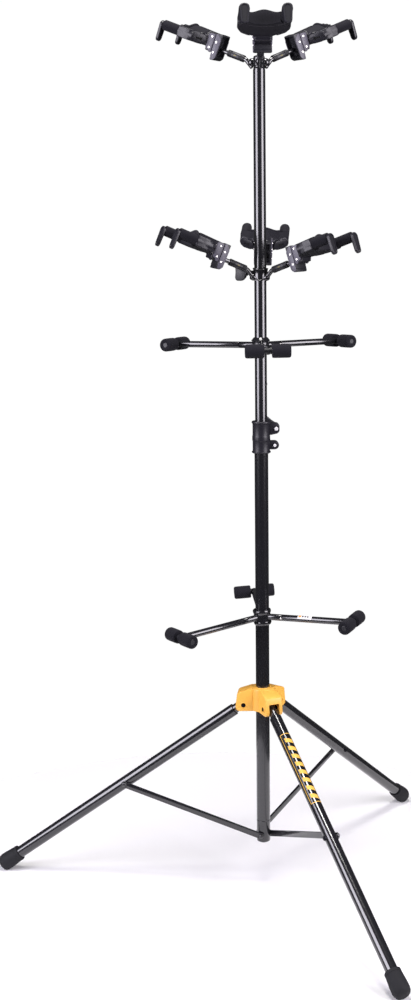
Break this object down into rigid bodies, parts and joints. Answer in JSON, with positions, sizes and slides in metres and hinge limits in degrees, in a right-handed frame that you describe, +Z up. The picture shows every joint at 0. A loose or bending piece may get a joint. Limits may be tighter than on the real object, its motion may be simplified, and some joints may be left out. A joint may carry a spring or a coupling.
{
  "type": "guitar rack",
  "caption": "Tall floor rack for hanging guitars: a tripod with a telescoping mast that carries hanging yokes in an upper and a lower tier, each with padded rests for the bodies.",
  "frame": {"origin": "centre of the footprint's bounding rectangle, on the floor under the foot caps", "axes": "+Z up along the mast; +Y away from the viewer's side, so that the front leg and the front yoke point to -Y; +X to the viewer's right"},
  "size_m": [0.8478, 0.8726, 1.6132],
  "materials": {
    "gloss_black": "gloss black paint on steel tube",
    "black_plastic": "satin black moulded plastic",
    "grey_plastic": "satin charcoal moulded plastic",
    "yellow_plastic": "semi-gloss yellow moulded plastic",
    "rubber": "matte black rubber",
    "foam": "matte black closed-cell foam",
    "steel": "plated steel"
  },
  "bodies": {
    "mast_lower": {"lower_tube": "gloss_black", "foot_block": "gloss_black", "clamp_collar": "grey_plastic", "lower_rest_collar": "gloss_black", "lower_rest_arm_back": "gloss_black", "lower_rest_arm_left": "gloss_black", "lower_rest_arm_right": "gloss_black", "lower_rest_pad_back": "foam", "lower_rest_pad_left": "foam", "lower_rest_pad_right": "foam"},
    "clamp_lever": {"clamp_lever": "black_plastic"},
    "mast_upper": {"upper_tube": "gloss_black", "top_hub": "gloss_black", "upper_rest_collar": "gloss_black", "upper_rest_arm_front": "gloss_black", "upper_rest_arm_left": "gloss_black", "upper_rest_arm_right": "gloss_black", "upper_rest_pad_front": "foam", "upper_rest_pad_left": "foam", "upper_rest_pad_right": "foam"},
    "mid_collar": {"mid_collar": "gloss_black"},
    "mid_knob": {"mid_knob": "black_plastic"},
    "leg_hub": {"leg_hub": "yellow_plastic", "leg_bolt_front": "steel", "leg_bolt_left": "steel", "leg_bolt_back": "steel"},
    "hub_knob": {"hub_knob": "black_plastic"},
    "leg_front": {"leg_tube_front": "gloss_black", "foot_cap_front": "rubber"},
    "brace_front": {"brace_front": "gloss_black"},
    "leg_left": {"leg_tube_left": "gloss_black", "foot_cap_left": "rubber"},
    "brace_left": {"brace_left": "gloss_black"},
    "leg_back": {"leg_tube_back": "gloss_black", "foot_cap_back": "rubber"},
    "brace_back": {"brace_back": "gloss_black"},
    "yoke_top_front": {"top_yoke_mount_front": "black_plastic"},
    "cradle_top_front": {"top_cradle_front": "grey_plastic"},
    "gate_top_front_left": {"top_gate_front_left": "grey_plastic"},
    "gate_top_front_right": {"top_gate_front_right": "grey_plastic"},
    "yoke_top_left": {"top_yoke_mount_left": "black_plastic"},
    "cradle_top_left": {"top_cradle_left": "grey_plastic"},
    "gate_top_left_left": {"top_gate_left_left": "grey_plastic"},
    "gate_top_left_right": {"top_gate_left_right": "grey_plastic"},
    "yoke_top_right": {"top_yoke_mount_right": "black_plastic"},
    "cradle_top_right": {"top_cradle_right": "grey_plastic"},
    "gate_top_right_left": {"top_gate_right_left": "grey_plastic"},
    "gate_top_right_right": {"top_gate_right_right": "grey_plastic"},
    "yoke_mid_back": {"mid_yoke_mount_back": "black_plastic"},
    "cradle_mid_back": {"mid_cradle_back": "grey_plastic"},
    "gate_mid_back_left": {"mid_gate_back_left": "grey_plastic"},
    "gate_mid_back_right": {"mid_gate_back_right": "grey_plastic"},
    "yoke_mid_left": {"mid_yoke_mount_left": "black_plastic"},
    "cradle_mid_left": {"mid_cradle_left": "grey_plastic"},
    "gate_mid_left_left": {"mid_gate_left_left": "grey_plastic"},
    "gate_mid_left_right": {"mid_gate_left_right": "grey_plastic"},
    "yoke_mid_right": {"mid_yoke_mount_right": "black_plastic"},
    "cradle_mid_right": {"mid_cradle_right": "grey_plastic"},
    "gate_mid_right_left": {"mid_gate_right_left": "grey_plastic"},
    "gate_mid_right_right": {"mid_gate_right_right": "grey_plastic"}
  },
  "joints": [
    {"name": "clamp_lever_turn", "type": "hinge", "parent": "mast_lower", "child": "clamp_lever", "pos_m": [0.111, 0.0623, 0.8636], "axis": [0, 1, 0], "range_deg": [0, 150]},
    {"name": "mast_slide", "type": "slide", "parent": "mast_lower", "child": "mast_upper", "axis": [0, 0, 1], "range_m": [-0.065, 0.15]},
    {"name": "mid_collar_slide", "type": "slide", "parent": "mast_upper", "child": "mid_collar", "axis": [0, 0, 1], "range_m": [-0.06, 0.2]},
    {"name": "mid_knob_turn", "type": "hinge", "parent": "mid_collar", "child": "mid_knob", "pos_m": [0.04945, 0.06176, 1.15007], "axis": [-0.8564, 0.514, 0.0492], "range_deg": [0, 180]},
    {"name": "leg_hub_slide", "type": "slide", "parent": "mast_lower", "child": "leg_hub", "axis": [0, 0, 1], "range_m": [0, 0.11]},
    {"name": "hub_knob_turn", "type": "hinge", "parent": "leg_hub", "child": "hub_knob", "pos_m": [0.0666, 0.08818, 0.352], "axis": [-0.342, 0.9397, 0], "range_deg": [0, 180]},
    {"name": "leg_front_fold", "type": "hinge", "parent": "leg_hub", "child": "leg_front", "pos_m": [0.09681, 0.00875, 0.3435], "axis": [0.9272, 0.3746, 0], "range_deg": [0, 11.2]},
    {"name": "brace_front_fold", "type": "hinge", "parent": "mast_lower", "child": "brace_front", "pos_m": [0.08482, 0.03842, 0.09], "axis": [-0.9272, -0.3746, 0], "range_deg": [0, 16.2]},
    {"name": "leg_left_fold", "type": "hinge", "parent": "leg_hub", "child": "leg_left", "pos_m": [0.04913, 0.04668, 0.3435], "axis": [-0.1564, -0.9877, 0], "range_deg": [0, 11.2]},
    {"name": "brace_left_fold", "type": "hinge", "parent": "mast_lower", "child": "brace_left", "pos_m": [0.08074, 0.04167, 0.09], "axis": [0.1564, 0.9877, 0], "range_deg": [0, 16.2]},
    {"name": "leg_back_fold", "type": "hinge", "parent": "leg_hub", "child": "leg_back", "pos_m": [0.10643, 0.06781, 0.3435], "axis": [-0.7604, 0.6494, 0], "range_deg": [0, 11.2]},
    {"name": "brace_back_fold", "type": "hinge", "parent": "mast_lower", "child": "brace_back", "pos_m": [0.08565, 0.04348, 0.09], "axis": [0.7604, -0.6494, 0], "range_deg": [0, 16.2]},
    {"name": "top_front_swivel", "type": "hinge", "parent": "mast_upper", "child": "yoke_top_front", "pos_m": [0.0837, 0.00343, 1.54076], "axis": [0, -0.9304, 0.3665], "range_deg": [-15, 15]},
    {"name": "top_front_drop", "type": "slide", "parent": "yoke_top_front", "child": "cradle_top_front", "axis": [0, -0.3665, -0.9304], "range_m": [0, 0.007], "stiffness_N_per_m": 1500, "springref_m": -0.004},
    {"name": "top_front_gate_left_swing", "type": "hinge", "parent": "cradle_top_front", "child": "gate_top_front_left", "pos_m": [0.1203, -0.13376, 1.60448], "axis": [0, -0.9304, 0.3665], "range_deg": [-90, 0]},
    {"name": "top_front_gate_right_swing", "type": "hinge", "parent": "cradle_top_front", "child": "gate_top_front_right", "pos_m": [0.0471, -0.13376, 1.60448], "axis": [0, -0.9304, 0.3665], "range_deg": [0, 90]},
    {"name": "top_left_swivel", "type": "hinge", "parent": "mast_upper", "child": "yoke_top_left", "pos_m": [0.05099, 0.06008, 1.54076], "axis": [-0.8058, 0.4652, 0.3665], "range_deg": [-15, 15]},
    {"name": "top_left_drop", "type": "slide", "parent": "yoke_top_left", "child": "cradle_top_left", "axis": [-0.3174, 0.1832, -0.9304], "range_m": [0, 0.007], "stiffness_N_per_m": 1500, "springref_m": -0.004},
    {"name": "top_left_gate_left_swing", "type": "hinge", "parent": "cradle_top_left", "child": "gate_top_left_left", "pos_m": [-0.08612, 0.09698, 1.60448], "axis": [-0.8058, 0.4652, 0.3665], "range_deg": [-90, 0]},
    {"name": "top_left_gate_right_swing", "type": "hinge", "parent": "cradle_top_left", "child": "gate_top_left_right", "pos_m": [-0.04952, 0.16038, 1.60448], "axis": [-0.8058, 0.4652, 0.3665], "range_deg": [0, 90]},
    {"name": "top_right_swivel", "type": "hinge", "parent": "mast_upper", "child": "yoke_top_right", "pos_m": [0.11641, 0.06008, 1.54076], "axis": [0.8058, 0.4652, 0.3665], "range_deg": [-15, 15]},
    {"name": "top_right_drop", "type": "slide", "parent": "yoke_top_right", "child": "cradle_top_right", "axis": [0.3174, 0.1832, -0.9304], "range_m": [0, 0.007], "stiffness_N_per_m": 1500, "springref_m": -0.004},
    {"name": "top_right_gate_left_swing", "type": "hinge", "parent": "cradle_top_right", "child": "gate_top_right_left", "pos_m": [0.21692, 0.16038, 1.60448], "axis": [0.8058, 0.4652, 0.3665], "range_deg": [-90, 0]},
    {"name": "top_right_gate_right_swing", "type": "hinge", "parent": "cradle_top_right", "child": "gate_top_right_right", "pos_m": [0.25352, 0.09698, 1.60448], "axis": [0.8058, 0.4652, 0.3665], "range_deg": [0, 90]},
    {"name": "mid_back_swivel", "type": "hinge", "parent": "mid_collar", "child": "yoke_mid_back", "pos_m": [0.08863, 0.07813, 1.16272], "axis": [0.1228, 0.9083, 0.3999], "range_deg": [-15, 15]},
    {"name": "mid_back_drop", "type": "slide", "parent": "yoke_mid_back", "child": "cradle_mid_back", "axis": [0.013, 0.4015, -0.9158], "range_m": [0, 0.007], "stiffness_N_per_m": 1500, "springref_m": -0.004},
    {"name": "mid_back_gate_left_swing", "type": "hinge", "parent": "cradle_mid_back", "child": "gate_mid_back_left", "pos_m": [0.07074, 0.21597, 1.23273], "axis": [0.1228, 0.9083, 0.3999], "range_deg": [-90, 0]},
    {"name": "mid_back_gate_right_swing", "type": "hinge", "parent": "cradle_mid_back", "child": "gate_mid_back_right", "pos_m": [0.14338, 0.20736, 1.22998], "axis": [0.1228, 0.9083, 0.3999], "range_deg": [0, 90]},
    {"name": "mid_left_swivel", "type": "hinge", "parent": "mid_collar", "child": "yoke_mid_left", "pos_m": [0.04857, 0.02798, 1.162], "axis": [-0.8642, -0.3273, 0.3822], "range_deg": [-15, 15]},
    {"name": "mid_left_drop", "type": "slide", "parent": "yoke_mid_left", "child": "cradle_mid_left", "axis": [-0.3758, -0.0852, -0.9228], "range_m": [0, 0.007], "stiffness_N_per_m": 1500, "springref_m": -0.004},
    {"name": "mid_left_gate_left_swing", "type": "hinge", "parent": "cradle_mid_left", "child": "gate_mid_left_left", "pos_m": [-0.06629, -0.05513, 1.22621], "axis": [-0.8642, -0.3273, 0.3822], "range_deg": [-90, 0]},
    {"name": "mid_left_gate_right_swing", "type": "hinge", "parent": "cradle_mid_left", "child": "gate_mid_left_right", "pos_m": [-0.09079, 0.01376, 1.22982], "axis": [-0.8642, -0.3273, 0.3822], "range_deg": [0, 90]},
    {"name": "mid_right_swivel", "type": "hinge", "parent": "mid_collar", "child": "yoke_mid_right", "pos_m": [0.11243, 0.01572, 1.1594], "axis": [0.7092, -0.6292, 0.318], "range_deg": [-15, 15]},
    {"name": "mid_right_drop", "type": "slide", "parent": "yoke_mid_right", "child": "cradle_mid_right", "axis": [0.244, -0.2041, -0.9481], "range_m": [0, 0.007], "stiffness_N_per_m": 1500, "springref_m": -0.004},
    {"name": "mid_right_gate_left_swing", "type": "hinge", "parent": "cradle_mid_right", "child": "gate_mid_right_left", "pos_m": [0.24154, -0.05, 1.21627], "axis": [0.7092, -0.6292, 0.318], "range_deg": [-90, 0]},
    {"name": "mid_right_gate_right_swing", "type": "hinge", "parent": "cradle_mid_right", "child": "gate_mid_right_right", "pos_m": [0.19312, -0.1049, 1.21563], "axis": [0.7092, -0.6292, 0.318], "range_deg": [0, 90]}
  ],
  "couplings": [
    {"joint": "leg_front_fold", "follows": "leg_hub_slide", "rad_per_m": 1.763},
    {"joint": "brace_front_fold", "follows": "leg_hub_slide", "rad_per_m": 2.559},
    {"joint": "leg_left_fold", "follows": "leg_hub_slide", "rad_per_m": 1.763},
    {"joint": "brace_left_fold", "follows": "leg_hub_slide", "rad_per_m": 2.559},
    {"joint": "leg_back_fold", "follows": "leg_hub_slide", "rad_per_m": 1.763},
    {"joint": "brace_back_fold", "follows": "leg_hub_slide", "rad_per_m": 2.559},
    {"joint": "top_front_gate_left_swing", "follows": "top_front_drop", "rad_per_m": -224.4},
    {"joint": "top_front_gate_right_swing", "follows": "top_front_drop", "rad_per_m": 224.4},
    {"joint": "top_left_gate_left_swing", "follows": "top_left_drop", "rad_per_m": -224.4},
    {"joint": "top_left_gate_right_swing", "follows": "top_left_drop", "rad_per_m": 224.4},
    {"joint": "top_right_gate_left_swing", "follows": "top_right_drop", "rad_per_m": -224.4},
    {"joint": "top_right_gate_right_swing", "follows": "top_right_drop", "rad_per_m": 224.4},
    {"joint": "mid_back_gate_left_swing", "follows": "mid_back_drop", "rad_per_m": -224.4},
    {"joint": "mid_back_gate_right_swing", "follows": "mid_back_drop", "rad_per_m": 224.4},
    {"joint": "mid_left_gate_left_swing", "follows": "mid_left_drop", "rad_per_m": -224.4},
    {"joint": "mid_left_gate_right_swing", "follows": "mid_left_drop", "rad_per_m": 224.4},
    {"joint": "mid_right_gate_left_swing", "follows": "mid_right_drop", "rad_per_m": -224.4},
    {"joint": "mid_right_gate_right_swing", "follows": "mid_right_drop", "rad_per_m": 224.4}
  ]
}
